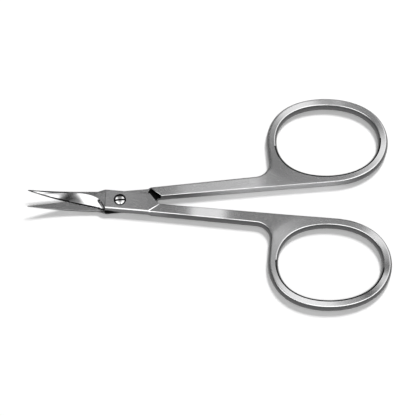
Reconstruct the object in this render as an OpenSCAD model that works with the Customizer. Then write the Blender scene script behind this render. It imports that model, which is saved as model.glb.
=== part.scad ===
// Cuticle scissors: two forged halves with oval finger rings, crossed at a slotted pivot screw.
// The origin is on the pivot axis, in the plane that the tool lies on. +X runs from the pivot to
// the finger rings and +Z points up, out of the screw head. Lengths are in millimetres.
// Each half is drawn along the X axis as it lies when the tool is closed, and is then turned about
// the pivot by half of the rest opening. The lower half has its ring on +Y, the upper half on -Y.

/* [Opening] */
// Angle between the two halves at rest, in degrees
rest_opening = 10.3; // [0:0.1:40]

/* [Pivot joint] */
// Height of the two lap plates, one on the other
joint_h = 3.0; // [2.4:0.1:4]
// Width of the flat outer face of a lap plate
lap_face_w = 4.5; // [4.4:0.1:6]
// Distance from the pivot axis to the point of the V-shaped plate end
lap_reach = 9.5; // [8:0.1:12]
// Length of the V-shaped plate end, along the tool
lap_point_l = 2.3; // [1.5:0.1:3]
// Gap between the two mating faces
mating_gap = 0.02; // [0.01:0.01:0.1]
// Gap between a plate end and the shoulder that it faces when closed
shoulder_gap = 0.2; // [0.1:0.05:1]

/* [Blades] */
// Distance from the pivot axis to the blade tips
blade_reach = 22.65; // [18:0.05:30]
// Distance from the pivot axis to the heel, where the bevel ends in the plate
heel_reach = 3.6; // [3:0.1:5]
// Length of the curved run-out of the bevel, ahead of the heel
bevel_runout = 7.2; // [4:0.1:8]
// Width of the flat strip between the bevel and the back of the blade
back_strip_w = 0.28; // [0.2:0.02:0.8]
// Distance from the middle line to the cutting edge, just ahead of the heel
edge_reach = 2.1; // [1.5:0.05:2.2]
// Distance from the middle line to the back of the blade, just ahead of the heel
back_reach = 1.8; // [1.5:0.05:2.2]
// Half width of the tip
tip_half_w = 0.05; // [0.03:0.01:0.2]
// Thickness of the blade's back at the tip
tip_t = 0.25; // [0.15:0.05:0.6]
// Thickness left at the cutting edge
edge_t = 0.08; // [0.05:0.01:0.2]
// Rise of the tips above the joint's mating plane
blade_lift = 2.35; // [0:0.05:5]
// Distance from the pivot axis at which the blades start to curve up
curve_start = 6.0; // [5:0.1:9]

/* [Shanks] */
// Height of a shank and of its ring
shank_h = 2.85; // [2.2:0.05:3.9]
// Width of the lower half's shank beside the joint
lower_shank_w_joint = 2.3; // [1.8:0.05:3]
// Width of the lower half's shank beside the ring
lower_shank_w_ring = 2.8; // [1.8:0.05:3.4]
// Width of the upper half's shank beside the joint
upper_shank_w_joint = 2.15; // [1.8:0.05:3]
// Width of the upper half's shank beside the ring
upper_shank_w_ring = 2.5; // [1.8:0.05:3.4]
// Distance from the middle line to a shank's inner wall when closed
shank_gap = 0.1; // [0.05:0.01:0.5]
// Crown of a shank's inner wall, which is nearly flat
inner_crown = 0.08; // [0.02:0.01:0.2]
// Crown of the rounded outer walls
wall_crown = 0.52; // [0.2:0.02:0.8]
// Size of the broken edges along the flat faces
edge_break = 0.14; // [0.05:0.01:0.25]

/* [Finger rings] */
// Distance from the pivot axis to the middle of a finger hole
ring_reach = 52.55; // [45:0.05:65]
// Length of a finger hole, along the tool
hole_l = 26.2; // [22:0.1:32]
// Width of the lower half's finger hole, across the tool
lower_hole_w = 19.25; // [17:0.05:24]
// Width of the upper half's finger hole, across the tool
upper_hole_w = 19.8; // [17:0.05:24]
// Tilt of a finger hole's long axis, in degrees
hole_tilt = -4.7; // [-12:0.1:6]
// Squareness of a finger hole, where 0 is an ellipse
hole_square = 0.055; // [0:0.005:0.12]
// Narrowing of a finger hole towards its far end
hole_taper = 0.03; // [-0.1:0.01:0.1]
// Crown of the wall around a finger hole
hole_crown = 0.5; // [0.2:0.02:0.8]
// Width of a ring's face
ring_face_w = 1.5; // [1:0.05:2.4]
// Radius of the fillet between shank and ring
web_fillet_r = 4.1; // [2:0.1:6]

/* [Pivot screw] */
// Diameter of the plain pin on which the upper half turns
pin_d = 1.9; // [1.4:0.05:2]
// Running clearance on the pin's radius
pin_clearance = 0.03; // [0.01:0.01:0.08]
// Diameter of the screw head
head_d = 2.46; // [2.3:0.02:3]
// Radial gap around the head in its recess
head_gap = 0.23; // [0.1:0.01:0.35]
// Depth of the recess for the head
recess_depth = 0.95; // [0.6:0.05:1]
// Distance of the head's top below the plate's face
head_drop = 0.05; // [0:0.01:0.2]
// Rise of the head's domed top above its rim
head_dome = 0.2; // [0.05:0.01:0.25]
// Width of the screwdriver slot
slot_w = 0.34; // [0.2:0.02:0.6]
// Depth of the screwdriver slot
slot_depth = 0.45; // [0.2:0.05:0.5]
// Pitch of the thread that holds the screw in the lower half
thread_pitch = 0.25; // [0.2:0.05:0.4]
// Depth of the thread
thread_depth = 0.14; // [0.08:0.01:0.2]
// Clearance on the thread's outer radius
thread_clearance = 0.02; // [0.01:0.01:0.05]

/* [Hidden] */
$fn = 64;

// The two halves by number, and the sizes that differ between them
LOWER = 0;
UPPER = 1;
shank_w_joint = [lower_shank_w_joint, upper_shank_w_joint];
shank_w_ring = [lower_shank_w_ring, upper_shank_w_ring];
hole_w = [lower_hole_w, upper_hole_w];

mid_z = joint_h / 2;
lap_half_w = lap_face_w / 2;
// The shoulder's wall leans by this much over its height, and the crease of the outer face is this long
shoulder_lean = 0.08;
crease_l = 0.16;
// Length over which the blade widens into the plate, and length of the step where the bevel ends
heel_blend = 2.2;
heel_step = 0.15;
// The blade's back thickens, the bevel hollows and the bevel runs out by these powers
back_power = 0.8;
hollow_power = 1.15;
runout_power = 1.8;
// Crown of the blade's back, as shares of the wall crown, at the tip and just ahead of the heel
back_crown_tip = 0.1;
back_crown_heel = 0.4;
// Broken edge around the mating faces, which stay crisp
mating_break = 0.02;
// Length by which a cut runs past the face that it opens
cut_over = 1;

// Columns across a half and how many of them lie on the bevel, rows up a wall, points around a
// section, and the point before the left wall's first row
columns = 5;
bevel_columns = 4;
wall_rows = 5;
loop_size = 2 * columns + 2 * wall_rows + 2;
left_wall = 2 * columns + wall_rows + 1;
// Share of the width that the bevel's columns take where there is no bevel, and the least on a blade
plain_share = 0.5;
least_share = 0.05;
// Steps along each stretch of a half
blade_steps = 12;
runout_steps = 9;
plate_steps = 4;
point_steps = 5;
shank_steps = 7;
fillet_steps = 5;
ring_steps = 72;
dome_steps = 8;

function lerp(a, b, u) = a + (b - a) * u;
function smooth(u) = let (v = min(1, max(0, u))) v * v * (3 - 2 * v);
function turned(p, angle) = [p[0] * cos(angle) - p[1] * sin(angle), p[0] * sin(angle) + p[1] * cos(angle)];

// Finger hole: an ellipse with squared shoulders and a narrower far end, around its own middle
function hole_offset(t, half) = turned([
    hole_l / 2 * cos(t) * (1 + hole_square * sin(t) * sin(t)),
    hole_w[half] / 2 * sin(t) * (1 - hole_taper * cos(t) + hole_square * cos(t) * cos(t))
], hole_tilt);
hole_low = [for (half = [LOWER, UPPER]) min([for (t = [180:360]) hole_offset(t, half)[1]])];
low_angle = [for (half = [LOWER, UPPER])
    [for (t = [180:360]) if (hole_offset(t, half)[1] <= hole_low[half]) t][0]];
hole_left = [for (half = [LOWER, UPPER]) min([for (t = [90:270]) hole_offset(t, half)[0]])];
left_angle = [for (half = [LOWER, UPPER])
    [for (t = [90:270]) if (hole_offset(t, half)[0] <= hole_left[half]) t][0]];
// The flat faces end one crown short of the line where the two halves would meet
inner_edge_y = shank_gap + inner_crown;
function ring_centre(half) = [ring_reach, inner_edge_y + ring_face_w - hole_low[half]];
function hole_point(t, half) = ring_centre(half) + hole_offset(t, half);
// Unit vector square to the hole's outline, away from its middle
function hole_normal(t, half) =
    let (along = hole_offset(t + 1, half) - hole_offset(t - 1, half))
    [along[1], -along[0]] / norm(along);

// Web between shank and ring: its outer line drops from the ring's near end into the fillet
function web_x(half) = ring_reach + hole_left[half] - ring_face_w;
function shank_edge_y(half) = inner_edge_y + shank_w_ring[half];
function fillet_centre(half) = [web_x(half) - web_fillet_r, shank_edge_y(half) + web_fillet_r];
function fillet_point(a, half) = fillet_centre(half) + web_fillet_r * [cos(a), sin(a)];
function fillet_normal(a) = -[cos(a), sin(a)];
// The ring's stretch of the outline meets the shank's along a seam, from this angle on the fillet
// to this angle on the finger hole
seam_fillet_angle = -45;
seam_hole_angle = 224;

// Outline of a blade: shares of the way from tip to heel, and a side with a given reach at the heel
function blade_share(x) = (x + blade_reach) / (blade_reach - heel_reach);
function heel_share(x) = smooth((x + heel_reach + heel_blend) / heel_blend);
function side_y(x, reach) = lerp(lerp(tip_half_w, reach, blade_share(x)), lap_half_w, heel_share(x));
function back_crown(x) =
    wall_crown * lerp(lerp(back_crown_tip, back_crown_heel, blade_share(x)), 1, heel_share(x));
function blade_t(x) = lerp(tip_t, mid_z, pow(blade_share(x), back_power));
// Share of the blade's width that the bevel takes, which runs out on a curve towards the heel
function bevel_share(x) =
    let (
        full = side_y(x, edge_reach) + side_y(x, back_reach),
        strip = min(back_strip_w, full / 4),
        along = min(1, max(0, (x + heel_reach + bevel_runout) / bevel_runout))
    )
    max(least_share, pow(1 - pow(along, runout_power), 1 / runout_power) * (full - strip) / full);

// Height of the mating surface above its plane: a bowl around the pivot axis, flat in its middle
lift_rate = blade_lift / pow(blade_reach - curve_start, 2);
function lift(p) = p[0] < 0 ? lift_rate * pow(max(0, norm([p[0], p[1]]) - curve_start), 2) : 0;

// A station is one section across a half: the point on its left side, the way that the wall there
// faces and its crown, the same three on its right side, the thickness from the mating plane to the
// outer face, the bevel's share of the width, and the zone
BLADE = 0;
PLATE = 1;
NECK = 2;
SHANK = 3;
up = [0, 1];
down = [0, -1];
function station(lp, lway, lcrown, rp, rway, rcrown, t, bevel, zone) =
    [lp, lway, lcrown, rp, rway, rcrown, t, bevel, zone];
function blade_station(x) = station(
    [x, side_y(x, edge_reach)], up, wall_crown * heel_share(x),
    [x, -side_y(x, back_reach)], down, back_crown(x),
    blade_t(x), bevel_share(x), BLADE);
function plate_station(lx, rp, rway, rcrown) = station(
    [lx, lap_half_w], up, wall_crown, rp, rway, rcrown, mid_z, plain_share, PLATE);

// The plate ends in a V with upright sides. Its corner's wall faces along the V's side.
point_corner_x = lap_reach - lap_point_l;
point_run = lap_half_w + inner_edge_y;
corner_way = -[lap_point_l / point_run, 1];
// The shoulder is parallel to the V's side and clears the other half's plate end
shoulder_shift = shoulder_gap * norm([lap_point_l, point_run]) / point_run;
shoulder_x = point_corner_x + crease_l + shoulder_shift;
shank_start_x = shoulder_x + shoulder_lean;
function neck_t(half) = half == UPPER ? shank_h - mid_z : mid_z;
function shank_edge(x, half) = lerp(inner_edge_y + shank_w_joint[half], shank_edge_y(half),
    (x - point_corner_x) / (fillet_centre(half)[0] - point_corner_x));
function shank_station(lx, rx, half, zone) = station(
    [lx, shank_edge(lx, half)], up, wall_crown, [rx, inner_edge_y], down, inner_crown,
    neck_t(half), plain_share, zone);

runout_x = -(heel_reach + bevel_runout);
plate_end_x = point_corner_x - lap_point_l;
function bar_stations(half) = concat(
    [for (i = [0:blade_steps - 1]) blade_station(lerp(-blade_reach, runout_x, i / blade_steps))],
    [for (i = [0:runout_steps]) blade_station(runout_x + bevel_runout * sin(90 * i / runout_steps))],
    [for (i = [0:plate_steps])
        let (x = lerp(heel_step - heel_reach, plate_end_x, i / plate_steps))
        plate_station(x, [x, -lap_half_w], down, wall_crown)],
    [for (i = [1:point_steps])
        plate_station(
            lerp(plate_end_x, point_corner_x, i / point_steps),
            lerp([point_corner_x, -lap_half_w], [lap_reach, inner_edge_y], (i - 1) / (point_steps - 1)),
            corner_way, i == 1 ? wall_crown : 0)],
    [shank_station(point_corner_x + crease_l, lap_reach + crease_l, half, NECK)],
    [shank_station(shoulder_x, lap_reach + crease_l + shoulder_shift, half, NECK)],
    [for (i = [0:shank_steps - 1])
        let (
            u = i / shank_steps,
            x = lerp(shank_start_x, fillet_centre(half)[0], u),
            slant = (lap_reach - point_corner_x) * pow(1 - u, 3)
        )
        shank_station(x, x + slant, half, SHANK)],
    [for (i = [0:fillet_steps])
        let (a = lerp(-90, seam_fillet_angle, i / fillet_steps), p = fillet_point(a, half))
        station(p, fillet_normal(a), wall_crown, [p[0], inner_edge_y], down, inner_crown,
            neck_t(half), plain_share, SHANK)]
);
function seam_stations(half) =
    let (
        start = fillet_point(seam_fillet_angle, half),
        end = hole_point(seam_hole_angle, half),
        rim_x = end[0] + ring_face_w * hole_normal(seam_hole_angle, half)[0]
    )
    [for (i = [1:columns - 1])
        station(lerp(start, end, i / columns), up, 0,
            [lerp(start[0], rim_x, i / columns), inner_edge_y], down, inner_crown,
            neck_t(half), plain_share, SHANK)];

// Outer line of the web, from 0 at the ring's near end, down to 1 at the seam on the fillet
function web_top_y(half) = hole_point(left_angle[half], half)[1];
function web_drop(half) = web_top_y(half) - fillet_centre(half)[1];
web_arc = web_fillet_r * PI * -seam_fillet_angle / 180;
function web_run(u, half) = u * (web_drop(half) + web_arc);
function web_angle(u, half) = -max(0, web_run(u, half) - web_drop(half)) / web_fillet_r * 180 / PI;
function web_point(u, half) = web_run(u, half) < web_drop(half)
    ? [web_x(half), web_top_y(half) - web_run(u, half)]
    : fillet_point(web_angle(u, half), half);
function ring_station(t, half) =
    let (
        hole = hole_point(t, half),
        way = hole_normal(t, half),
        rim = hole + ring_face_w * way,
        web = (t - 360 - left_angle[half]) / (seam_hole_angle - left_angle[half]),
        base = (t - seam_hole_angle) / (low_angle[half] - seam_hole_angle),
        rp = web > 0 ? web_point(web, half) : base < 1 ? [rim[0], inner_edge_y] : rim,
        rway = web > 0 ? fillet_normal(web_angle(web, half)) : base < 1 ? down : way
    )
    station(hole, -way, hole_crown, rp, rway, lerp(inner_crown, wall_crown, min(1, base)),
        neck_t(half), plain_share, SHANK);
function ring_stations(half) = [for (i = [0:ring_steps - 1])
    ring_station(seam_hole_angle + 360 * i / ring_steps, half)];

// Height of the top or the bottom face at column m, before the blade's curve is added. The lower
// half's outer face is its bottom and the upper half's is its top.
function is_outer(top, half) = top == (half == UPPER);
function outer_t(s, m) = s[8] == BLADE
    ? lerp(edge_t, s[6], pow(min(1, m / bevel_columns), hollow_power))
    : s[6];
function level(s, m, top, half) =
    is_outer(top, half) ? mid_z + (top ? 1 : -1) * outer_t(s, m)
    : s[8] == SHANK ? (top ? shank_h : 0)
    : mid_z - (top ? 1 : -1) * mating_gap / 2;
function break_size(s, m, top, half) = min(
    is_outer(top, half) || s[8] == SHANK ? edge_break : mating_break,
    (level(s, m, true, half) - level(s, m, false, half)) / 4);
// Point on a side wall at height z, which a crown moves out and an inset moves in. Past the
// plate's point the right side stops at the plane where the two halves would meet.
function barrel(s, z) =
    let (half_h = (s[8] >= NECK ? shank_h : joint_h) / 2)
    1 - pow((z - half_h) / half_h, 2);
function side_point(s, left, z, inset) =
    let (
        i = left ? 0 : 3,
        p = s[i] + s[i + 1] * (s[i + 2] * barrel(s, z) - inset)
    )
    [p[0], !left && s[8] >= NECK ? max(p[1], shank_gap) : p[1], z];
function column_share(m, bevel) = m <= bevel_columns
    ? bevel * m / bevel_columns
    : lerp(bevel, 1, (m - bevel_columns) / (columns - bevel_columns));
function face_point(s, m, top, half) =
    let (
        a = side_point(s, true, level(s, 0, top, half), break_size(s, 0, top, half)),
        b = side_point(s, false, level(s, columns, top, half), break_size(s, columns, top, half)),
        p = lerp(a, b, column_share(m, s[7]))
    )
    [p[0], p[1], level(s, m, top, half)];
function wall_point(s, w, left, half) =
    let (
        m = left ? 0 : columns,
        high = level(s, m, true, half) - break_size(s, m, true, half),
        low = level(s, m, false, half) + break_size(s, m, false, half)
    )
    side_point(s, left, lerp(high, low, (w - 1) / (wall_rows - 1)), 0);
// Points around a station: along the top, down the right wall, back along the bottom, up the left
function station_loop(s, half) = [for (p = concat(
        [for (m = [0:columns]) face_point(s, m, true, half)],
        [for (w = [1:wall_rows]) wall_point(s, w, false, half)],
        [for (m = [columns:-1:0]) face_point(s, m, false, half)],
        [for (w = [wall_rows:-1:1]) wall_point(s, w, true, half)]
    )) [p[0], half == UPPER ? -p[1] : p[1], p[2] + lift(p)]];

// Point k of station i. The ring closes on the seam: past the last station its faces take the
// seam's points from the hole back to the fillet, its right wall takes the wall of the fillet
// and its left wall takes the wall of the finger hole.
function seam_index(k, first) =
    k <= columns ? (first + columns - k) * loop_size
    : k <= columns + wall_rows ? first * loop_size + loop_size - (k - columns)
    : k <= left_wall ? (first + k - columns - wall_rows - 1) * loop_size + left_wall
    : (first + columns) * loop_size + k;
function point_index(i, k, count, first) = i == count
    ? seam_index(k % loop_size, first)
    : i * loop_size + k % loop_size;
function facing(face, half) = half == UPPER ? [face[2], face[1], face[0]] : face;

module forged_half(half) {
    bar = bar_stations(half);
    stations = concat(bar, seam_stations(half), ring_stations(half));
    count = len(stations);
    first = len(bar) - 1;
    points = [for (s = stations) each station_loop(s, half)];
    sides = [for (i = [0:count - 1]) for (k = [0:loop_size - 1])
        if (k < left_wall || i < first || i >= first + columns)
            let (
                a = point_index(i, k, count, first),
                b = point_index(i + 1, k, count, first),
                c = point_index(i + 1, k + 1, count, first),
                d = point_index(i, k + 1, count, first)
            )
            each [facing([a, b, c], half), facing([a, c, d], half)]];
    tip = [for (k = [1:loop_size - 2]) facing([0, k, k + 1], half)];
    polyhedron(points = points, faces = concat(sides, tip), convexity = 10);
}

// The screw's pin is plain in the upper half's bore and threaded in the lower half's
module upper_half() {
    color("silver") rotate([0, 0, -rest_opening / 2]) difference() {
        forged_half(UPPER);
        translate([0, 0, -cut_over]) cylinder(d = pin_d + 2 * pin_clearance, h = joint_h + 2 * cut_over);
        translate([0, 0, joint_h - recess_depth])
            cylinder(d = head_d + 2 * head_gap, h = recess_depth + cut_over);
    }
}

module lower_half() {
    color("lightgray") rotate([0, 0, rest_opening / 2]) difference() {
        forged_half(LOWER);
        translate([0, 0, -cut_over]) cylinder(d = pin_d, h = joint_h + 2 * cut_over);
    }
}

// The slot lies along the lower half, in which the screw is fast
module pivot_screw() {
    seat_z = joint_h - recess_depth + mating_gap;
    top_z = joint_h - head_drop;
    head_r = head_d / 2;
    thread_r = pin_d / 2 - thread_clearance;
    root_r = thread_r - thread_depth;
    turns = floor((mid_z - thread_depth) / thread_pitch);
    dome_r = (head_r * head_r + head_dome * head_dome) / (2 * head_dome);
    dome_a = asin(head_r / dome_r);
    profile = concat(
        [[0, 0], [root_r, 0]],
        [for (i = [0:turns - 1]) each [
            [thread_r, (i + 0.5) * thread_pitch],
            [root_r, (i + 1) * thread_pitch]]],
        [[pin_d / 2, mid_z], [pin_d / 2, seat_z], [head_r, seat_z]],
        [for (i = [dome_steps:-1:0])
            let (a = dome_a * i / dome_steps)
            [dome_r * sin(a), top_z - dome_r * (1 - cos(a))]]
    );
    color("gray") rotate([0, 0, rest_opening / 2]) difference() {
        rotate_extrude() polygon(profile);
        translate([-head_d, -slot_w / 2, top_z - slot_depth])
            cube([2 * head_d, slot_w, slot_depth + cut_over]);
    }
}

upper_half();
lower_half();
pivot_screw();
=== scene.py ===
import math
from collections import namedtuple

import bpy
import numpy as np
from mathutils import Matrix, Vector


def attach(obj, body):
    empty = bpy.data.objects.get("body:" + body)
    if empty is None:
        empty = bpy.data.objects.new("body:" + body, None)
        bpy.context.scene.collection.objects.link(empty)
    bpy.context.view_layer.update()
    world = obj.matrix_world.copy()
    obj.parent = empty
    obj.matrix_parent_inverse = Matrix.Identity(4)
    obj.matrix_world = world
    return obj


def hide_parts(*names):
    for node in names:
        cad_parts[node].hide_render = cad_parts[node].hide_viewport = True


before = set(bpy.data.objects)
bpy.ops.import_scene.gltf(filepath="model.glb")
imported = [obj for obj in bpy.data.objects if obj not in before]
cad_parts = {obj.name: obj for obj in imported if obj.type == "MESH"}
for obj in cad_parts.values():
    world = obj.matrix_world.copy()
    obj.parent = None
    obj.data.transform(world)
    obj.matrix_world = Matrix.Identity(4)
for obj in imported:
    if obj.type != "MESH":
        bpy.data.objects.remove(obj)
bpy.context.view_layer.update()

MM = 0.001
LOWER, UPPER = 0, 1
NODE = {LOWER: "lower_half", UPPER: "upper_half"}
BODY = {LOWER: "lower_body", UPPER: "upper_body"}

# Sizes are in millimetres and angles in degrees. They are those of the part's source, apart from
# the slot, the crease, the upper blade's edge and the small breaks. The pivot stands at the
# origin, the blades point along -X and the rings along +X. A pair holds the lower half's value and
# then the upper half's.
REST_OPENING = 10.3

# Joint: two plates that overlap and end in a slanted point against the other's shoulder
JOINT_H = 3.0
MID_Z = JOINT_H / 2
MATING_GAP = 0.02
LAP_FACE_W = 4.5
LAP_HALF_W = LAP_FACE_W / 2
LAP_REACH = 9.5
LAP_POINT_L = 2.3
CREASE_L = 0.28
SHOULDER_GAP = 0.2
SHOULDER_LEAN = 0.08
SHOULDER_BREAK = 0.09
SHOULDER_BREAK_L = 0.15
SLANT_POWER = 3

# Blade: a hollow bevel between the cutting edge and a strip along the back, run out at the heel
BLADE_REACH = 22.65
BLADE_LIFT = 2.35
CURVE_START = 6.0
HEEL_REACH = 3.6
HEEL_BLEND = 2.2
HEEL_STEP = 0.15
EDGE_REACH = (2.1, 2.45)
EDGE_BULGE = (0.0, 0.2)
EDGE_T = 0.08
BACK_REACH = 1.8
BACK_STRIP_W = 0.28
BACK_STRIP_MOST = 0.25
BACK_POWER = 0.8
BACK_CROWN_TIP = 0.1
BACK_CROWN_HEEL = 0.4
TIP_HALF_W = 0.05
TIP_T = 0.25
BEVEL_RUNOUT = 7.2
RUNOUT_X = -(HEEL_REACH + BEVEL_RUNOUT)
RUNOUT_POWER = 1.8
HOLLOW_POWER = 1.15
BEVEL_LEAST = 0.05
PLAIN_SHARE = 0.5

# Shank: a bar with barrelled walls that widens towards the ring
SHANK_H = 2.85
SHANK_W_JOINT = (2.3, 2.15)
SHANK_W_RING = (2.8, 2.5)
SHANK_GAP = 0.1
INNER_CROWN = 0.08
WALL_CROWN = 0.52
EDGE_BREAK = 0.14
MATING_BREAK = 0.02
BREAK_MOST = 0.25

# Ring: a hole squarer than an ellipse and narrower at one end, with a web to the shank
RING_REACH = 52.55
RING_FACE_W = 1.5
HOLE_L = 26.2
HOLE_W = (19.25, 19.8)
HOLE_TILT = -4.7
HOLE_SQUARE = 0.055
HOLE_TAPER = 0.03
HOLE_CROWN = 0.5
WEB_FILLET_R = 4.1
SEAM_FILLET_ANGLE = -45
SEAM_HOLE_ANGLE = 224

# Screw and the holes that it fills
PIN_D = 1.9
PIN_CLEARANCE = 0.03
HEAD_D = 2.46
HEAD_GAP = 0.23
HEAD_DROP = 0.05
HEAD_DOME = 0.2
RECESS_DEPTH = 0.95
MOUTH_CHAMFER = 0.05
RIM_BREAK = 0.03
SLOT_W = 0.46
SLOT_DEPTH = 0.45
THREAD_PITCH = 0.25
THREAD_DEPTH = 0.14
THREAD_CLEARANCE = 0.02
CUT_MARGIN = 1.0

# Mesh of a half: columns across a face, of which the first ones lie on the bevel, steps round an
# edge break, rows down a wall, and steps along each stretch
COLUMNS = 16
BEVEL_COLUMNS = 13
ARC_STEPS = 4
WALL_ROWS = 13
SIDE = WALL_ROWS + 2 * (ARC_STEPS - 1)
LOOP = 2 * COLUMNS + 2 * SIDE + 2
LEFT_WALL = 2 * COLUMNS + SIDE + 1
BLADE_STEPS = 36
RUNOUT_STEPS = 28
PLATE_STEPS = 12
POINT_STEPS = 12
SHANK_STEPS = 24
FILLET_STEPS = 14
RING_STEPS = 288
HEEL_STATION = BLADE_STEPS + RUNOUT_STEPS
NECK_STATION = HEEL_STATION + PLATE_STEPS + POINT_STEPS + 2
LATHE_STEPS = 96
DOME_STEPS = 16
SHARP_ANGLE = 28
TINY = 1e-6

# Painted shadow and shade: dark lines and faces that stand in for the shade in gaps, holes and
# along edges, as widths or as steps and rows of the mesh. The line along the cutting edge widens
# from the first width at the tip to the second at DARK_BACK_STEPS.
EDGE_LINE_W = (0.15, 0.42)
BACK_LINE_W = 0.2
BACK_LINE_STEPS = 22
DARK_BACK_STEPS = 30
RIM_LINE_W = 0.13
RIM_FACING = 0.05
HEAD_LINE_W = 0.13
HEEL_STEPS = 5
HEEL_ROWS = 4
HEEL_STRIP_STEPS = 6
PARTING_ROWS = 1
GAP_STEPS = 5
GAP_COLUMNS = 6
BRIGHT_ARC = 3
PLATE_ARC = 5

# Waves of the hand-ground faces, as leans of the normal: size, middle and width round each ring,
# start, end and size along each shank, and start, run and size of the low stretch by the joint
RING_WAVES = (
    ((0.22, 119, 28), (0.21, 338, 24), (-0.04, 30, 16), (-0.05, 195, 42), (0.07, 73, 12),
     (0.05, 302, 13)),
    ((0.22, 115, 43), (0.17, 321, 18), (0.12, 18, 11), (-0.17, 45, 8), (-0.13, 0, 8),
     (0.08, 211, 28), (-0.03, 280, 10)))
RING_LEAN = 0.055
SHANK_WAVE = ((9.5, 40.0, 0.1), (12.5, 31.0, 0.21))
SHANK_LOW = ((2.0, 9.0, 0.03), (1.0, 10.0, 0.085))
WAVE_RUN = 7.0
BLADE_LEAN = 0.09

# Leans of the bevel: start, run and size of the tip's wave and of the heel's shade, width and size
# of the shade along the tip's back, and distance and width of the heel's from the bevel's end
BEVEL_WAVE = (-14.0, 3.0, 0.035)
BACK_SHADE = (0.8, 0.06)
HEEL_SHADE = (-6.2, 1.6, 0.35)
HEEL_SHADE_PLACE = (0.6, 0.35)

# Brushing: within a reach, in half sizes of the hole, and beyond an X it goes round the ring. The
# pull is how fast it turns, and the shift keeps the ring's scratches apart from the shank's.
BRUSH_REACH = 1.42
BRUSH_RUN = 0.2
BRUSH_X = 25
BRUSH_PULL = 10
BRUSH_SHIFT = 40

# Stored heights that shade the walls: their share at the joint and the run to the full height, and
# the lit inner wall of the lower half, with its start, rise, end, fall and size along X, its width
# from the inner side and its least reach on the ring
PLATE_SHADE = 0.4
PLATE_RUN = 4
LIT_WALL = (14.0, 16.0, 60.0, 9.0, 2.6)
LIT_WALL_W = 0.3
LIT_RING_REACH = 1.06

# Lean of the screw's dome to the left, and a dip near its lower rim in shares of the radius
DOME_LEAN = 2
DIP_START = 0.3
DIP_HALF_W = 0.5
DIP_RUN = 0.3
DIP_LEAN = 0.16

# Steel: scratches drawn out along the brushing, soft clouds, and painted shade that darkens the
# colour in corners
SCRATCH_SCALE = (900, 14000, 14000)
SCRATCH_DETAIL = 3
SCRATCH_DEPTH = 0.00001
CLOUD_SCALE = 260
CLOUD_DETAIL = 2
COLOUR_RANGE = (0.88, 1.12)
CORNER_REACH = 0.0008
CORNER_RANGE = (0.35, 0.95)
CORNER_LEAST = 0.03
CORNER_SAMPLES = 8

FLOOR_REACH = 2000
FLOOR_DROP = 0.01
FLOOR_WHITE = 0.95
FLOOR_ROUGHNESS = 0.9

# Zones along a half, and places in the lists of finishes of the halves and of the screw. The wall
# shade finish is steel painted darker as shade, and the shadow finishes are painted near black as
# the shadow in gaps, holes and along edges.
BLADE, PLATE, NECK, SHOULDER, SHANK = range(5)
FACE_FINISH, BEVEL_FINISH, WALL_SHADE_FINISH, PAINTED_SHADOW_FINISH = range(4)
SCREW_SHADOW_FINISH = 1
UP = np.array([0.0, 1.0])
DOWN = np.array([0.0, -1.0])

# A section of a half: the points at its left and right edge, each with the way that its side faces
# and how far its wall bulges, the thickness from the middle to the outer face, the share of the
# width that the bevel's columns take, and the zone
Station = namedtuple(
    "Station", "left left_way left_crown right right_way right_crown thickness bevel zone")


def sin(a):
    return math.sin(math.radians(a))


def cos(a):
    return math.cos(math.radians(a))


def lerp(a, b, u):
    return a + (b - a) * u


def smooth(u):
    v = min(1.0, max(0.0, u))
    return v * v * (3 - 2 * v)


def bump(value, middle, width):
    return math.exp(-((value - middle) / width) ** 2)


def turn_bump(angle, middle, width):
    return bump((angle - middle + 180) % 360 - 180, 0, width)


def turned(x, y, angle):
    return np.array([x * cos(angle) - y * sin(angle), x * sin(angle) + y * cos(angle)])


def blade_x(i):
    """Place along X of a blade's station: even steps, then a sine's along the bevel's runout."""
    if i < BLADE_STEPS:
        return lerp(-BLADE_REACH, RUNOUT_X, i / BLADE_STEPS)
    return RUNOUT_X + BEVEL_RUNOUT * sin(90 * (i - BLADE_STEPS) / RUNOUT_STEPS)


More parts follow.
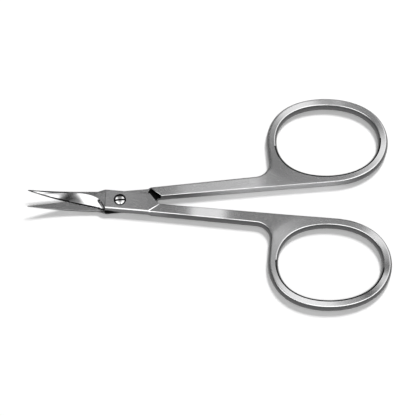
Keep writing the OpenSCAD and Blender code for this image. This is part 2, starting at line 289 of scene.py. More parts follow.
class Half:
    """One forged half as rows of points around stations, drawn along X as it lies when closed."""

    def __init__(self, half):
        self.half = half
        self.side = -1 if half == UPPER else 1
        low = [(self.hole_offset(t)[1], t) for t in range(180, 361)]
        left = [(self.hole_offset(t)[0], t) for t in range(90, 271)]
        hole_low, self.low_angle = min(low)
        hole_left, self.left_angle = min(left)
        self.inner_y = SHANK_GAP + INNER_CROWN
        self.centre = np.array([RING_REACH, self.inner_y + RING_FACE_W - hole_low])
        self.web_x = RING_REACH + hole_left - RING_FACE_W
        self.shank_edge_y = self.inner_y + SHANK_W_RING[half]
        self.fillet_centre = np.array([self.web_x - WEB_FILLET_R, self.shank_edge_y + WEB_FILLET_R])
        self.corner_x = LAP_REACH - LAP_POINT_L
        point_run = LAP_HALF_W + self.inner_y
        self.corner_way = -np.array([LAP_POINT_L / point_run, 1.0])
        self.shoulder_shift = SHOULDER_GAP * math.hypot(LAP_POINT_L, point_run) / point_run
        self.shoulder_x = self.corner_x + CREASE_L + self.shoulder_shift
        self.shoulder_top_x = self.shoulder_x + SHOULDER_LEAN
        self.slant = LAP_REACH - self.corner_x
        self.neck_t = SHANK_H - MID_Z if half == UPPER else MID_Z
        self.web_top_y = self.hole_point(self.left_angle)[1]
        self.web_drop = self.web_top_y - self.fillet_centre[1]
        self.web_arc = WEB_FILLET_R * math.pi * -SEAM_FILLET_ANGLE / 180

    def hole_offset(self, t):
        x = HOLE_L / 2 * cos(t) * (1 + HOLE_SQUARE * sin(t) ** 2)
        y = HOLE_W[self.half] / 2 * sin(t) * (1 - HOLE_TAPER * cos(t) + HOLE_SQUARE * cos(t) ** 2)
        return turned(x, y, HOLE_TILT)

    def hole_point(self, t):
        return self.centre + self.hole_offset(t)

    def hole_normal(self, t):
        along = self.hole_offset(t + 1) - self.hole_offset(t - 1)
        return np.array([along[1], -along[0]]) / np.linalg.norm(along)

    def fillet_point(self, a):
        return self.fillet_centre + WEB_FILLET_R * np.array([cos(a), sin(a)])

    def fillet_normal(self, a):
        return -np.array([cos(a), sin(a)])

    def blade_share(self, x):
        return (x + BLADE_REACH) / (BLADE_REACH - HEEL_REACH)

    def heel_share(self, x):
        return smooth((x + HEEL_REACH + HEEL_BLEND) / HEEL_BLEND)

    def side_y(self, x, reach):
        return lerp(lerp(TIP_HALF_W, reach, self.blade_share(x)), LAP_HALF_W, self.heel_share(x))

    def edge_y(self, x):
        share = self.blade_share(x)
        bulge = 4 * EDGE_BULGE[self.half] * share * max(0.0, 1 - share)
        return self.side_y(x, EDGE_REACH[self.half]) + bulge

    def blade_w(self, x):
        return self.edge_y(x) + self.side_y(x, BACK_REACH)

    def bevel_share(self, x):
        full = self.blade_w(x)
        strip = min(BACK_STRIP_W, full * BACK_STRIP_MOST)
        along = min(1.0, max(0.0, (x + HEEL_REACH + BEVEL_RUNOUT) / BEVEL_RUNOUT))
        run = (1 - along ** RUNOUT_POWER) ** (1 / RUNOUT_POWER)
        return max(BEVEL_LEAST, run * (full - strip) / full)

    def bevel_end_y(self, x):
        return self.edge_y(x) - self.blade_w(x) * self.bevel_share(x)

    def back_crown(self, x):
        share = lerp(BACK_CROWN_TIP, BACK_CROWN_HEEL, self.blade_share(x))
        return WALL_CROWN * lerp(share, 1, self.heel_share(x))

    def blade_t(self, x):
        return lerp(TIP_T, MID_Z, self.blade_share(x) ** BACK_POWER)

    def blade_station(self, x):
        return Station(
            np.array([x, self.edge_y(x)]), UP, WALL_CROWN * self.heel_share(x),
            np.array([x, -self.side_y(x, BACK_REACH)]), DOWN, self.back_crown(x),
            self.blade_t(x), self.bevel_share(x), BLADE)

    def plate_station(self, left_x, right, right_way, right_crown):
        return Station(
            np.array([left_x, LAP_HALF_W]), UP, WALL_CROWN,
            np.array(right), right_way, right_crown, MID_Z, PLAIN_SHARE, PLATE)

    def shank_edge(self, x):
        u = (x - self.corner_x) / (self.fillet_centre[0] - self.corner_x)
        return lerp(self.inner_y + SHANK_W_JOINT[self.half], self.shank_edge_y, u)

    def inner_station(self, left, left_way, left_crown, right_x, zone=SHANK):
        """A station whose right side lies along the shank's inner side."""
        return Station(
            left, left_way, left_crown, np.array([right_x, self.inner_y]), DOWN, INNER_CROWN,
            self.neck_t, PLAIN_SHARE, zone)

    def shank_station(self, left_x, right_x, zone):
        left = np.array([left_x, self.shank_edge(left_x)])
        return self.inner_station(left, UP, WALL_CROWN, right_x, zone)

    def point_stations(self):
        """The plate from the heel to its slanted point."""
        out = []
        end_x = self.corner_x - LAP_POINT_L
        for i in range(PLATE_STEPS + 1):
            x = lerp(HEEL_STEP - HEEL_REACH, end_x, i / PLATE_STEPS)
            out.append(self.plate_station(x, (x, -LAP_HALF_W), DOWN, WALL_CROWN))
        corner = np.array([self.corner_x, -LAP_HALF_W])
        apex = np.array([LAP_REACH, self.inner_y])
        for i in range(1, POINT_STEPS + 1):
            out.append(self.plate_station(
                lerp(end_x, self.corner_x, i / POINT_STEPS),
                lerp(corner, apex, (i - 1) / (POINT_STEPS - 1)),
                self.corner_way, WALL_CROWN if i == 1 else 0.0))
        return out

    def shoulder_stations(self):
        """The crease behind the plate's point and the step up to the shank."""
        right_x = LAP_REACH + CREASE_L
        top_x = self.shoulder_top_x
        return [self.shank_station(self.corner_x + CREASE_L, right_x, NECK),
                self.shank_station(self.shoulder_x, right_x + self.shoulder_shift, NECK),
                self.shank_station(top_x, top_x + self.slant, SHOULDER)]

    def bar_stations(self):
        out = [self.blade_station(blade_x(i)) for i in range(HEEL_STATION + 1)]
        out += self.point_stations() + self.shoulder_stations()
        start_x = self.shoulder_top_x + SHOULDER_BREAK_L
        for i in range(SHANK_STEPS):
            u = i / SHANK_STEPS
            x = lerp(start_x, self.fillet_centre[0], u)
            out.append(self.shank_station(x, x + self.slant * (1 - u) ** SLANT_POWER, SHANK))
        for i in range(FILLET_STEPS + 1):
            a = lerp(-90, SEAM_FILLET_ANGLE, i / FILLET_STEPS)
            p = self.fillet_point(a)
            out.append(self.inner_station(p, self.fillet_normal(a), WALL_CROWN, p[0]))
        return out

    def seam_stations(self):
        """Stations between the fillet and the hole, whose left side the ring closes on."""
        start = self.fillet_point(SEAM_FILLET_ANGLE)
        end = self.hole_point(SEAM_HOLE_ANGLE)
        rim_x = end[0] + RING_FACE_W * self.hole_normal(SEAM_HOLE_ANGLE)[0]
        return [self.inner_station(lerp(start, end, i / COLUMNS), UP, 0.0,
                                   lerp(start[0], rim_x, i / COLUMNS))
                for i in range(1, COLUMNS)]

    def web_angle(self, u):
        run = u * (self.web_drop + self.web_arc)
        return -max(0.0, run - self.web_drop) / WEB_FILLET_R * 180 / math.pi

    def web_point(self, u):
        run = u * (self.web_drop + self.web_arc)
        if run < self.web_drop:
            return np.array([self.web_x, self.web_top_y - run])
        return self.fillet_point(self.web_angle(u))

    def ring_station(self, i):
        """Station i of the ring. Its left side is the hole's, its right side the outer rim's."""
        t = SEAM_HOLE_ANGLE + 360 * i / RING_STEPS
        hole, way = self.hole_point(t), self.hole_normal(t)
        rim = hole + RING_FACE_W * way
        web = (t - 360 - self.left_angle) / (SEAM_HOLE_ANGLE - self.left_angle)
        base = (t - SEAM_HOLE_ANGLE) / (self.low_angle - SEAM_HOLE_ANGLE)
        if web > 0:
            right, right_way = self.web_point(web), self.fillet_normal(self.web_angle(web))
        elif base < 1:
            right, right_way = np.array([rim[0], self.inner_y]), DOWN
        else:
            right, right_way = rim, way
        right_crown = lerp(INNER_CROWN, WALL_CROWN, min(1.0, base))
        return Station(hole, -way, HOLE_CROWN, right, right_way, right_crown,
                       self.neck_t, PLAIN_SHARE, SHANK)

    def is_outer(self, top):
        return top == (self.half == UPPER)

    def outer_t(self, s, m):
        if s.zone != BLADE:
            return s.thickness
        return lerp(EDGE_T, s.thickness, min(1.0, m / BEVEL_COLUMNS) ** HOLLOW_POWER)

    def level(self, s, m, top):
        """Height of the top or lower face at column m."""
        sign = 1 if top else -1
        if self.is_outer(top):
            return MID_Z + sign * self.outer_t(s, m)
        if s.zone >= SHOULDER:
            drop = SHOULDER_BREAK if s.zone == SHOULDER else 0.0
            return SHANK_H - drop if top else drop
        return MID_Z - sign * MATING_GAP / 2

    def break_size(self, s, m, top):
        edge = EDGE_BREAK if self.is_outer(top) or s.zone >= SHOULDER else MATING_BREAK
        return min(edge, (self.level(s, m, True) - self.level(s, m, False)) * BREAK_MOST)

    def side_point(self, s, left, z, inset):
        half_h = (SHANK_H if s.zone >= NECK else JOINT_H) / 2
        barrel = 1 - ((z - half_h) / half_h) ** 2
        point, way, crown = s[:3] if left else s[3:6]
        x, y = point + way * (crown * barrel - inset)
        if not left and s.zone >= NECK:
            y = max(y, SHANK_GAP)
        return np.array([x, y, z])

    def face_row(self, s, top):
        ends = [self.side_point(s, m == 0, self.level(s, m, top), self.break_size(s, m, top))
                for m in (0, COLUMNS)]
        row = []
        for m in range(COLUMNS + 1):
            if m <= BEVEL_COLUMNS:
                share = s.bevel * m / BEVEL_COLUMNS
            else:
                share = lerp(s.bevel, 1, (m - BEVEL_COLUMNS) / (COLUMNS - BEVEL_COLUMNS))
            p = lerp(ends[0], ends[1], share)
            p[2] = self.level(s, m, top)
            row.append(p)
        return row

    def side_row(self, s, left):
        """Points down one side: round the upper edge, down the wall and round the lower edge."""
        m = 0 if left else COLUMNS
        top, low = self.level(s, m, True), self.level(s, m, False)
        b, c = self.break_size(s, m, True), self.break_size(s, m, False)
        arc = [90 * i / ARC_STEPS for i in range(1, ARC_STEPS)]
        row = [self.side_point(s, left, top - b * (1 - cos(a)), b * (1 - sin(a))) for a in arc]
        row += [self.side_point(s, left, lerp(top - b, low + c, w / (WALL_ROWS - 1)), 0.0)
                for w in range(WALL_ROWS)]
        row += [self.side_point(s, left, low + c * (1 - sin(a)), c * (1 - cos(a))) for a in arc]
        return row

    def station_loop(self, s):
        """Points round a station from its top left edge, lifted along the blade's curve."""
        points = self.face_row(s, True) + self.side_row(s, False)
        points += self.face_row(s, False)[::-1] + self.side_row(s, True)[::-1]
        rate = BLADE_LIFT / (BLADE_REACH - CURVE_START) ** 2
        out = []
        for x, y, z in points:
            lift = rate * max(0.0, math.hypot(x, y) - CURVE_START) ** 2 if x < 0 else 0.0
            out.append((x, self.side * y, z + lift))
        return out

    def mesh_data(self):
        """Points, faces and the finish of each face."""
        bar = self.bar_stations()
        stations = bar + self.seam_stations()
        ring_start = len(stations)
        stations += [self.ring_station(i) for i in range(RING_STEPS)]
        count, first = len(stations), len(bar) - 1
        points = [p for s in stations for p in self.station_loop(s)]

        def index(i, k):
            """Place k of station i. Past the last one lies the left side of the seam's."""
            k %= LOOP
            if i < count:
                return i * LOOP + k
            if k <= COLUMNS:
                return (first + COLUMNS - k) * LOOP
            if k <= COLUMNS + SIDE:
                return first * LOOP + LOOP - (k - COLUMNS)
            if k <= LEFT_WALL:
                return (first + k - COLUMNS - SIDE - 1) * LOOP + LEFT_WALL
            return (first + COLUMNS) * LOOP + k

        faces, finish = [], []
        for i in range(count):
            for k in range(LOOP):
                if k >= LEFT_WALL and first <= i < first + COLUMNS:
                    continue
                faces.append((index(i, k), index(i + 1, k), index(i + 1, k + 1), index(i, k + 1)))
                finish.append(self.finish(i, k, i - ring_start))
        faces.append(tuple(range(LOOP - 1, -1, -1)))
        finish.append(WALL_SHADE_FINISH)
        if self.half == LOWER:
            faces = [f[::-1] for f in faces]
        return points, faces, finish

    def finish(self, i, k, ring):
        """Finish of the face between places k and k + 1 after station i, which is the ring's
        station number ring."""
        found = None
        if i < HEEL_STATION:
            found = self.blade_finish(i, k)
        elif ring >= 0:
            found = self.rim_finish(ring, k)
        if found is None and self.half == LOWER and k == COLUMNS - 1:
            found = self.heel_strip_finish(i)
        if found is None:
            found = self.gap_finish(i, k)
        if found is None:
            found = self.wall_finish(i, k)
        return FACE_FINISH if found is None else found

    def blade_finish(self, i, k):
        """The bevel, with a painted shadow line along its edge, and the painted shade strip and
        painted shadow line of the back.
        """
        bevel = self.bevel_loop()
        x = blade_x(i)
        place = k if self.half == UPPER else bevel[-1] - k
        full = self.blade_w(x)
        column = full * self.bevel_share(x) / BEVEL_COLUMNS
        line_w = lerp(EDGE_LINE_W[0], EDGE_LINE_W[1], min(1, i / DARK_BACK_STEPS))
        if 0 <= place < max(1, round(line_w / column)):
            return PAINTED_SHADOW_FINISH
        near_back = full - place * column < BACK_LINE_W
        if i < BACK_LINE_STEPS and 0 <= place < COLUMNS and near_back:
            return PAINTED_SHADOW_FINISH
        if k in bevel:
            return BEVEL_FINISH
        if i < DARK_BACK_STEPS and BEVEL_COLUMNS <= place < COLUMNS:
            return WALL_SHADE_FINISH
        return None

    def rim_finish(self, ring, k):
        """A painted shadow line round the edges of the hole that face away from the viewer."""
        if BEVEL_COLUMNS <= k < LOOP - ARC_STEPS:
            return None
        s = self.ring_station(ring)
        column = np.linalg.norm(s.right - s.left) * s.bevel / BEVEL_COLUMNS
        away = s.left_way[1] * self.side > RIM_FACING
        if away and (k >= BEVEL_COLUMNS or k < max(1, round(RIM_LINE_W / column))):
            return PAINTED_SHADOW_FINISH
        return None

    def heel_strip_finish(self, i):
        """A painted shadow strip along the edge of the lower half's mating face, by the other heel,
        with painted shade before it.
        """
        if HEEL_STATION - HEEL_STRIP_STEPS <= i < HEEL_STATION + HEEL_STEPS:
            return PAINTED_SHADOW_FINISH
        if HEEL_STATION - 2 * HEEL_STRIP_STEPS <= i < HEEL_STATION:
            return WALL_SHADE_FINISH
        return None

    def gap_finish(self, i, k):
        """Painted shadow on the floor of the gap between the other plate's point and the step."""
        inner = COLUMNS + SIDE < k < LEFT_WALL if self.half == UPPER else k < COLUMNS
        if inner and NECK_STATION - GAP_STEPS <= i <= NECK_STATION + 1:
            column = LEFT_WALL - 1 - k if self.half == UPPER else k
            if i >= NECK_STATION or column >= GAP_COLUMNS * (NECK_STATION - i) / GAP_STEPS:
                return PAINTED_SHADOW_FINISH
        return None

    def wall_finish(self, i, k):
        """Painted shade on the walls between the bright edge breaks, and a painted shadow along the
        parting line between the plates.
        """
        bright = BRIGHT_ARC
        if k >= LEFT_WALL and self.half == UPPER and i <= NECK_STATION:
            bright = PLATE_ARC
        parting = round(lerp(HEEL_ROWS, PARTING_ROWS, smooth((i - HEEL_STATION) / HEEL_STEPS)))
        for start, down in ((COLUMNS, True), (LEFT_WALL, False)):
            row = k - start
            if not 0 <= row <= SIDE:
                continue
            from_mating = row if down == (self.half == LOWER) else SIDE - row
            joined = HEEL_STATION - HEEL_STEPS <= i <= NECK_STATION
            if joined and from_mating < ARC_STEPS + parting:
                return PAINTED_SHADOW_FINISH
            if bright <= row <= SIDE - bright:
                return WALL_SHADE_FINISH
        return None

    def bevel_loop(self):
        """Places round a blade's section at which a face lies on the bevel."""
        if self.half == UPPER:
            return range(BEVEL_COLUMNS)
        return range(LEFT_WALL - BEVEL_COLUMNS, LEFT_WALL)

    def face_lean(self, x, bearing, ringed):
        """Lean of the hand-ground face along X: waves round the ring, one along the shank, and
        none along the blade, whose flat inner face was ground after the blade was bent."""
        if x < -CURVE_START:
            rate = 2 * BLADE_LIFT / (BLADE_REACH - CURVE_START) ** 2
            return rate * (x + CURVE_START) - BLADE_LEAN
        ring = sum(size * turn_bump(bearing, middle, width)
                   for size, middle, width in RING_WAVES[self.half])
        start, end, size = SHANK_WAVE[self.half]
        shank = size * smooth((x - start) / WAVE_RUN) * smooth((end - x) / WAVE_RUN)
        start, run, low = SHANK_LOW[self.half]
        shank -= low * smooth((x - start) / run)
        return lerp(shank, ring - RING_LEAN, ringed)

    def bevel_lean(self, x, y):
        """Lean of the hollow bevel along X: a wave at the tip, and dark shades along the tip's
        back and in the heel."""
        inside = y - self.bevel_end_y(x)
        start, run, size = BEVEL_WAVE
        back_w, back = BACK_SHADE
        tip = (size - back * smooth(1 - inside / back_w)) * smooth((start - x) / run)
        start, run, size = HEEL_SHADE
        place, width = HEEL_SHADE_PLACE
        return tip - size * bump(inside, place, width) * smooth((x - start) / run)

    def wall_shade_height(self, x, y, z, reach):
        """Height that sets the painted shade of the side walls, less at the joint, and below zero
        where the lower half's inner wall is painted lighter.
        """
        height = z * lerp(PLATE_SHADE, 1, smooth((x - LAP_REACH) / PLATE_RUN))
        cx, cy = self.centre
        rim = reach > LIT_RING_REACH and y < cy and x > cx
        if self.half == LOWER and (y < self.inner_y + LIT_WALL_W or rim):
            start, rise, end, fall, size = LIT_WALL
            height -= size * SHANK_H * smooth((x - start) / rise) * smooth((end - x) / fall)
        return height


def new_mesh(name, points, faces, materials=()):
    mesh = bpy.data.meshes.new(name)
    mesh.from_pydata([tuple(c * MM for c in p) for p in points], [], faces)
    mesh.validate()
    mesh.update()
    for mat in materials:
        mesh.materials.append(mat)
    obj = bpy.data.objects.new(name, mesh)
    bpy.context.scene.collection.objects.link(obj)
    return obj


def lathe(name, profile, materials):
    """A closed solid turned about Z from (radius, height) pairs whose ends lie on the axis."""
    steps = LATHE_STEPS
    inner = profile[1:-1]
    points = [(r * cos(360 * i / steps), r * sin(360 * i / steps), z)
              for r, z in inner for i in range(steps)]
    faces = []
    for j in range(len(inner) - 1):
        for i in range(steps):
            a, b = j * steps + i, j * steps + (i + 1) % steps
            faces.append((a, b, b + steps, a + steps))
    faces.append(tuple(range(steps - 1, -1, -1)))
    faces.append(tuple(range((len(inner) - 1) * steps, len(inner) * steps)))
    return new_mesh(name, points, faces, materials)


def cut(obj, cutter, finish):
    """Takes the cutter away from the object and leaves its finish on the cut faces."""
    for poly in cutter.data.polygons:
        poly.material_index = finish
    mod = obj.modifiers.new("cut", "BOOLEAN")
    mod.object = cutter
    mod.solver = "EXACT"
    graph = bpy.context.evaluated_depsgraph_get()
    mesh = bpy.data.meshes.new_from_object(obj.evaluated_get(graph))
    old = obj.data
    obj.modifiers.clear()
    obj.data = mesh
    bpy.data.meshes.remove(old)
    bpy.data.objects.remove(cutter)


def smooth_shading(mesh):
    for poly in mesh.polygons:
        poly.use_smooth = True
    mesh.set_sharp_from_angle(angle=math.radians(SHARP_ANGLE))


def sharpen_bevel(mesh):
    """Marks the edges round the hollow bevel as sharp."""
    sides = {}
    for poly in mesh.polygons:
        for key in poly.edge_keys:
            sides.setdefault(key, set()).add(poly.material_index == BEVEL_FINISH)
    for edge in mesh.edges:
        if len(sides[edge.key]) == 2:
            edge.use_edge_sharp = True


def mark_steel(mesh, shape):
    """Stores what the steel is shaded by. Each point holds the way that the metal was brushed
    there, as flow, and the place along and across that way and a height in metres that sets the
    walls' painted shade, as grain. Each corner of a face holds how far the hand-ground metal
    leans there, as tilt."""
    flow = mesh.attributes.new("flow", "FLOAT_VECTOR", "POINT")
    grain = mesh.attributes.new("grain", "FLOAT_VECTOR", "POINT")
    tilt = mesh.attributes.new("tilt", "FLOAT_VECTOR", "CORNER")
    leans = []
    cx, cy = shape.centre
    a, b = HOLE_L / 2, HOLE_W[shape.half] / 2
    for v in mesh.vertices:
        x, y, z = v.co / MM
        y *= shape.side
        dx, dy = (x - cx) / a, (y - cy) / b
        reach, bearing = math.hypot(dx, dy), math.atan2(dy, dx)
        ringed = smooth((BRUSH_REACH - reach) / BRUSH_RUN) if x > BRUSH_X else 0.0
        way = np.array([1 - ringed - ringed * dy / b * BRUSH_PULL, ringed * dx / a * BRUSH_PULL])
        way = way / max(TINY, np.linalg.norm(way))
        flow.data[v.index].vector = (way[0], shape.side * way[1], 0)
        along = lerp(x, bearing * (a + b) / 2 + BRUSH_SHIFT, ringed)
        across = lerp(y, reach * (a + b) / 2, ringed)
        height = shape.wall_shade_height(x, y, z, reach)
        grain.data[v.index].vector = (along * MM, across * MM, height * MM)
        leans.append((shape.face_lean(x, math.degrees(bearing), ringed), shape.bevel_lean(x, y)))
    for poly in mesh.polygons:
        for i in poly.loop_indices:
            lean = leans[mesh.loops[i].vertex_index][poly.material_index == BEVEL_FINISH]
            tilt.data[i].vector = (lean, 0, 0)


def hole_profile(half):
    """Profile of the hole at the pivot: a bore under a recess, or the threaded hole."""
    low, high = -CUT_MARGIN, JOINT_H + CUT_MARGIN
    c = MOUTH_CHAMFER
    if half == UPPER:
        bore, recess = PIN_D / 2 + PIN_CLEARANCE, HEAD_D / 2 + HEAD_GAP
        floor_z = JOINT_H - RECESS_DEPTH
        return [(0, low), (bore, low), (bore, floor_z), (recess, floor_z), (recess, JOINT_H - c),
                (recess + 2 * c, JOINT_H + c), (recess + 2 * c, high), (0, high)]
    hole = PIN_D / 2
    return [(0, low), (hole + 2 * c, low), (hole + 2 * c, -c), (hole, c), (hole, high), (0, high)]


def forged_half(half):
    shape = Half(half)
    points, faces, finish = shape.mesh_data()
    obj = new_mesh(NODE[half] + "_forging", points, faces, FINISHES)
    for poly, index in zip(obj.data.polygons, finish):
        poly.material_index = index
    # The walls of the hole and recess are painted near black as their shadow.
    cut(obj, lathe("cutter", hole_profile(half), FINISHES), PAINTED_SHADOW_FINISH)
    mark_steel(obj.data, shape)
    smooth_shading(obj.data)
    sharpen_bevel(obj.data)
    opening = Matrix.Rotation(shape.side * math.radians(REST_OPENING / 2), 4, "Z")
    obj.data.transform(opening)
    for name in ("flow", "tilt"):
        for item in obj.data.attributes[name].data:
            item.vector = opening @ item.vector
    weighted = obj.modifiers.new("weighted", "WEIGHTED_NORMAL")
    weighted.keep_sharp = True
    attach(obj, BODY[half])
    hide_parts(NODE[half])


def screw_profile(seat_z, top_z, dome_r):
    """Profile of the screw: a thread, a plain pin and a domed head with broken rims."""
    head_r = HEAD_D / 2
    thread_r = PIN_D / 2 - THREAD_CLEARANCE
    root_r = thread_r - THREAD_DEPTH
    turns = math.floor((MID_Z - THREAD_DEPTH) / THREAD_PITCH)
    dome_angle = math.degrees(math.asin(head_r / dome_r))
    profile = [(0, 0), (root_r, 0)]
    for i in range(turns):
        profile += [(thread_r, (i + 0.5) * THREAD_PITCH), (root_r, (i + 1) * THREAD_PITCH)]
    profile += [(PIN_D / 2, MID_Z), (PIN_D / 2, seat_z), (head_r - RIM_BREAK, seat_z),
                (head_r, seat_z + RIM_BREAK), (head_r, top_z - HEAD_DOME - RIM_BREAK)]
    for i in range(DOME_STEPS, 0, -1):
        a = dome_angle * (1 - RIM_BREAK / head_r) * i / DOME_STEPS
        profile.append((dome_r * sin(a), top_z - dome_r * (1 - cos(a))))
    return profile + [(0, top_z)]


def pivot_screw():
    seat_z = JOINT_H - RECESS_DEPTH + MATING_GAP
    top_z = JOINT_H - HEAD_DROP
    head_r = HEAD_D / 2
    dome_r = (head_r ** 2 + HEAD_DOME ** 2) / (2 * HEAD_DOME)
    obj = lathe("pivot_screw_turned", screw_profile(seat_z, top_z, dome_r), SCREW_FINISHES)
    # A band round the head's rim and its side are painted near black as the shadow round the head.
    for poly in obj.data.polygons:
        x, y, z = poly.center / MM
        if math.hypot(x, y) > head_r - HEAD_LINE_W and z > seat_z:
            poly.material_index = SCREW_SHADOW_FINISH
    slot = [(x, y, z) for x in (-HEAD_D, HEAD_D) for y in (-SLOT_W / 2, SLOT_W / 2)
            for z in (top_z - SLOT_DEPTH, top_z + CUT_MARGIN)]
    sides = [(0, 1, 3, 2), (4, 6, 7, 5), (0, 4, 5, 1), (2, 3, 7, 6), (0, 2, 6, 4), (1, 5, 7, 3)]
    # The slot's faces are painted near black as its shadow.
    cut(obj, new_mesh("cutter", slot, sides, SCREW_FINISHES), SCREW_SHADOW_FINISH)
    grain = obj.data.attributes.new("grain", "FLOAT_VECTOR", "POINT")
    tilt = obj.data.attributes.new("tilt", "FLOAT_VECTOR", "POINT")
    for v in obj.data.vertices:
        grain.data[v.index].vector = (0, math.hypot(v.co.x, v.co.y), v.co.z)
        x, y, _ = v.co / MM
        dip = smooth((-y / head_r - DIP_START) / DIP_RUN)
        dip *= smooth((DIP_HALF_W - abs(x) / head_r) / DIP_RUN)
        tilt.data[v.index].vector = (max(0.0, -x) * DOME_LEAN / dome_r, -DIP_LEAN * dip, 0)
    obj.data.transform(Matrix.Rotation(math.radians(REST_OPENING / 2), 4, "Z"))
    smooth_shading(obj.data)
    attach(obj, BODY[LOWER])
    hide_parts("pivot_screw")


class Nodes:
    """Builds a node tree. Each input takes a value or the output of another node."""

    # First of the two blended inputs of a mix, and its output
    MIX_SOCKETS = {"FLOAT": (2, 0), "RGBA": (6, 2)}

    def __init__(self, tree):
        self.tree = tree

    def new(self, kind):
        return self.tree.nodes.new("ShaderNode" + kind)

    def feed(self, node, values):
        for key, value in dict(values).items():
            if isinstance(value, bpy.types.NodeSocket):
                self.tree.links.new(value, node.inputs[key])
            else:
                node.inputs[key].default_value = value

    def calc(self, operation, *values):
        node = self.new("Math")
        node.operation = operation
        self.feed(node, enumerate(values))
        return node.outputs["Value"]

    def vector(self, operation, values, output="Vector"):
        node = self.new("VectorMath")
        node.operation = operation
        self.feed(node, values)
        return node.outputs[output]

    def split(self, value):
        node = self.new("SeparateXYZ")
        self.feed(node, {"Vector": value})
        return node.outputs

    def ramp(self, value, span, levels=(0.0, 1.0), ease="SMOOTHSTEP", clamp=True):
        """Goes from the first level to the second over the span."""
        node = self.new("MapRange")
        node.interpolation_type = ease
        node.clamp = clamp
        self.feed(node, {"Value": value, "From Min": span[0], "From Max": span[1],
                         "To Min": levels[0], "To Max": levels[1]})
        return node.outputs["Result"]

    def fall(self, value, span):
        """Goes from 1 to 0 over the span."""
        return self.calc("SUBTRACT", 1.0, self.ramp(value, span))

    def mix(self, kind, share, first, second):
        node = self.new("Mix")
        node.data_type = kind
        at, output = self.MIX_SOCKETS[kind]
        self.feed(node, {0: share, at: first, at + 1: second})
        return node.outputs[output]

    def noise(self, place, scale, detail):
        node = self.new("TexNoise")
        self.feed(node, {"Vector": place, "Scale": scale, "Detail": detail})
        return node.outputs["Fac"]

    def stored(self, name):
        """A stored vector as it is."""
        node = self.new("Attribute")
        node.attribute_name = name
        return node.outputs["Vector"]

    def stored_way(self, name):
        """A stored direction that turns with the piece."""
        node = self.new("VectorTransform")
        node.vector_type = "VECTOR"
        node.convert_from, node.convert_to = "OBJECT", "WORLD"
        self.feed(node, {"Vector": self.stored(name)})
        return node.outputs["Vector"]


def new_material(name):
    mat = bpy.data.materials.new(name)
    mat.use_nodes = True
    return mat, Nodes(mat.node_tree), mat.node_tree.nodes["Principled BSDF"]


def steel(name, base, roughness, spread, anisotropy, streaks, least=CORNER_LEAST, grade=None):
    """Bare steel brushed along its flow: base colour, roughness and its spread, anisotropy, depth
    of the streaks, the least share of the colour in narrow corners, where shade is painted, and,
    where given, its shares at the floor and at the top face, which paint a wall darker towards the
    top as shade."""
    mat, nodes, shader = new_material(name)
    grain = nodes.stored("grain")
    stretched = nodes.vector("MULTIPLY", {0: grain, 1: SCRATCH_SCALE})
    scratches = nodes.noise(stretched, 1.0, SCRATCH_DETAIL)
    clouds = nodes.noise(grain, CLOUD_SCALE, CLOUD_DETAIL)
    rough = nodes.ramp(scratches, (0.0, 1.0), (roughness - spread, roughness + spread), "LINEAR")
    blend = nodes.calc("MULTIPLY_ADD", scratches, 0.5, nodes.calc("MULTIPLY", clouds, 0.5))
    dark, pale = ((*(min(1, c * share) for c in base), 1) for share in COLOUR_RANGE)
    colour = nodes.mix("RGBA", blend, dark, pale)

    # Painted shade: the colour is darkened in narrow corners and in gaps between the pieces
    near = nodes.new("AmbientOcclusion")
    near.samples = CORNER_SAMPLES
    nodes.feed(near, {"Distance": CORNER_REACH})
    shade = nodes.ramp(near.outputs["AO"], CORNER_RANGE, (least, 1.0))
    # Painted shade on walls: darker towards the top, and lighter where the stored height is lowered
    if grade:
        height = nodes.split(grain)["Z"]
        graded = nodes.ramp(height, (0.0, SHANK_H * MM), grade, "LINEAR", clamp=False)
        shade = nodes.calc("MULTIPLY", shade, graded)
    colour = nodes.vector("SCALE", {0: colour, "Scale": shade})

    normal = nodes.new("NewGeometry").outputs["Normal"]
    if anisotropy:
        tangent = nodes.vector("CROSS_PRODUCT", {0: normal, 1: nodes.stored_way("flow")})
        nodes.feed(shader, {"Tangent": tangent})
    leaning = nodes.vector("ADD", {0: normal, 1: nodes.stored_way("tilt")})
    streaked = nodes.new("Bump")
    nodes.feed(streaked, {"Strength": streaks, "Distance": SCRATCH_DEPTH, "Height": scratches,
                          "Normal": nodes.vector("NORMALIZE", {0: leaning})})
    nodes.feed(shader, {"Metallic": 1.0, "Anisotropic": anisotropy, "Roughness": rough,
                        "Base Color": colour, "Normal": streaked.outputs["Normal"]})
    return mat


# The third finish is painted darker as the walls' shade, and the fourth near black as shadow
FINISHES = (
    steel("satin_steel", (0.62, 0.62, 0.625), roughness=0.26, spread=0.04, anisotropy=0.75,
          streaks=0.25),
    steel("polished_steel", (0.5, 0.5, 0.504), roughness=0.08, spread=0.02, anisotropy=0.3,
          streaks=0.05, least=1.0),
    steel("painted_shade_wall_steel", (0.14, 0.14, 0.142), roughness=0.26, spread=0.05, anisotropy=0.6,
          streaks=0.25, grade=(1.4, 0.45)),
    steel("painted_shadow_steel", (0.012, 0.012, 0.012), roughness=0.5, spread=0.08, anisotropy=0.0,
          streaks=0.3))
# The screw's second finish is painted near black as the shadow in its slot and round its head
SCREW_FINISHES = (
    steel("screw_steel", (0.8, 0.8, 0.8), roughness=0.13, spread=0.03, anisotropy=0.0,
          streaks=0.15),
    FINISHES[PAINTED_SHADOW_FINISH])

forged_half(LOWER)
forged_half(UPPER)
pivot_screw()


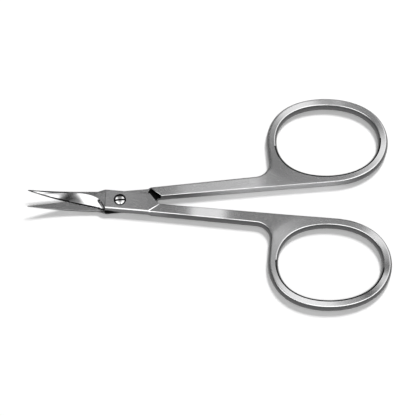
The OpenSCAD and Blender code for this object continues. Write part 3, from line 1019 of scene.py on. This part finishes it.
def make_floor():
    r = FLOOR_REACH
    points = [(x, y, -FLOOR_DROP) for x, y in ((-r, -r), (r, -r), (r, r), (-r, r))]
    mat, nodes, shader = new_material("floor_white")
    nodes.feed(shader, {"Base Color": (FLOOR_WHITE, FLOOR_WHITE, FLOOR_WHITE, 1),
                        "Roughness": FLOOR_ROUGHNESS, "Specular IOR Level": 0.0})
    new_mesh("floor", points, [(0, 1, 2, 3)], [mat])


make_floor()

# Camera at the photograph's angle, in metres and degrees
CAM_TARGET = Vector((21.64, -1.63, 1.5)) * MM
CAM_ELEVATION = 68.5
CAM_BACK = Vector((0, -cos(CAM_ELEVATION), sin(CAM_ELEVATION)))
CAM_DISTANCE = 500 * MM
CAM_SENSOR_W = 36
CAM_LENS = 175.9

# Lamps: way, size and power. The fill comes from the camera's side, so that its shadow lies
# behind the object.
LAMP_TARGET = Vector((0.02, 0, 0))
LAMP_DISTANCE = 0.9
LAMPS = {"key": ((0.224, 0.480, 0.848), 0.22, 5.7), "fill": (CAM_BACK, 0.2, 2.7)}


def place(name, data, way, target, distance):
    """Puts a camera or lamp at a distance from its target, looking at it."""
    obj = bpy.data.objects.new(name, data)
    bpy.context.scene.collection.objects.link(obj)
    obj.location = target + way * distance
    obj.rotation_mode = "QUATERNION"
    obj.rotation_quaternion = (-way).to_track_quat("-Z", "Y")
    return obj


def make_camera():
    data = bpy.data.cameras.new("camera")
    data.sensor_width = CAM_SENSOR_W
    data.lens = CAM_LENS
    bpy.context.scene.camera = place("camera", data, CAM_BACK, CAM_TARGET, CAM_DISTANCE)


def make_lamp(name, way, size, power):
    data = bpy.data.lights.new(name, "AREA")
    data.shape = "DISK"
    data.size = size
    data.energy = power
    lamp = place(name, data, Vector(way).normalized(), LAMP_TARGET, LAMP_DISTANCE)
    lamp.visible_glossy = False


make_camera()
for lamp_name, lamp in LAMPS.items():
    make_lamp(lamp_name, *lamp)

# The studio that the metal mirrors, as brightness by the X and Y of the way looked in. Each span
# is where a panel's edge fades. The base level rises to the right, and ends at the back.
STUDIO_BASE = 0.18
STUDIO_RISES = (((-0.3, -0.02), 0.2), ((0.07, 0.26), 1.0))
STUDIO_BACK = (0.58, 0.88)
# Two front panels with a dark gap between them, whose right side slants about a Y, and with
# bright ends at the near and at the far side
FRONT_LEVEL = 2.4
FRONT_GAP_LEVEL = 0.02
FRONT_GAP_LEFT = (-0.07, 0.005)
FRONT_GAP_RIGHT = (0.037, 0.113)
FRONT_GAP_Y = -0.62
FRONT_GAP_SLANT = 0.2
FRONT_NEAR = (-0.84, -0.68)
FRONT_FAR = (-0.43, -0.25)
FRONT_LEFT_END = (-0.91, -0.68)
FRONT_BACK_END = (-0.34, -0.1)
# The camera and the person behind it mirror as a dark patch, within these angles
PATCH_ANGLES = (9, 4)
PATCH_SHADE = 0.85
# Level of the light on rough surfaces, and of what the camera sees behind the object
EVEN_LEVEL = 0.22
BACKDROP_LEVEL = 1.0


def make_world():
    """A pale studio: even light, a white view behind, and soft panels for the metal to mirror."""
    world = bpy.data.worlds.new("studio")
    bpy.context.scene.world = world
    world.use_nodes = True
    nodes = Nodes(world.node_tree)
    calc, ramp, fall = nodes.calc, nodes.ramp, nodes.fall
    way = nodes.new("TexCoord").outputs["Generated"]
    axes = nodes.split(way)
    x, y = axes["X"], axes["Y"]

    level = STUDIO_BASE
    for span, size in STUDIO_RISES:
        level = calc("ADD", level, calc("MULTIPLY", ramp(x, span), size))
    level = calc("MULTIPLY", level, fall(y, STUDIO_BACK))

    slanted = calc("ADD", x, calc("MULTIPLY", calc("ADD", y, -FRONT_GAP_Y), FRONT_GAP_SLANT))
    front = calc("ADD", ramp(slanted, FRONT_GAP_RIGHT), fall(x, FRONT_GAP_LEFT))
    front = calc("ADD", front, fall(y, FRONT_NEAR))
    front = calc("ADD", front, ramp(y, FRONT_FAR))
    front = calc("MINIMUM", 1.0, calc("ADD", front, FRONT_GAP_LEVEL))
    front = calc("MULTIPLY", calc("MULTIPLY", front, FRONT_LEVEL), ramp(x, FRONT_LEFT_END))
    change = calc("SUBTRACT", front, level)
    level = calc("ADD", level, calc("MULTIPLY", fall(y, FRONT_BACK_END), change))

    toward = nodes.vector("DOT_PRODUCT", {0: way, 1: tuple(CAM_BACK)}, "Value")
    patch = ramp(toward, [cos(a) for a in PATCH_ANGLES])
    shade = calc("SUBTRACT", 1.0, calc("MULTIPLY", patch, PATCH_SHADE))
    level = calc("MULTIPLY", level, shade)

    ray = nodes.new("LightPath").outputs
    level = nodes.mix("FLOAT", ray["Is Glossy Ray"], EVEN_LEVEL, level)
    seen = calc("MAXIMUM", ray["Is Camera Ray"], ray["Is Transmission Ray"])
    level = nodes.mix("FLOAT", seen, level, BACKDROP_LEVEL)
    background = world.node_tree.nodes["Background"]
    nodes.feed(background, {"Color": (1, 1, 1, 1), "Strength": level})


make_world()

bpy.context.scene.view_settings.view_transform = "Standard"
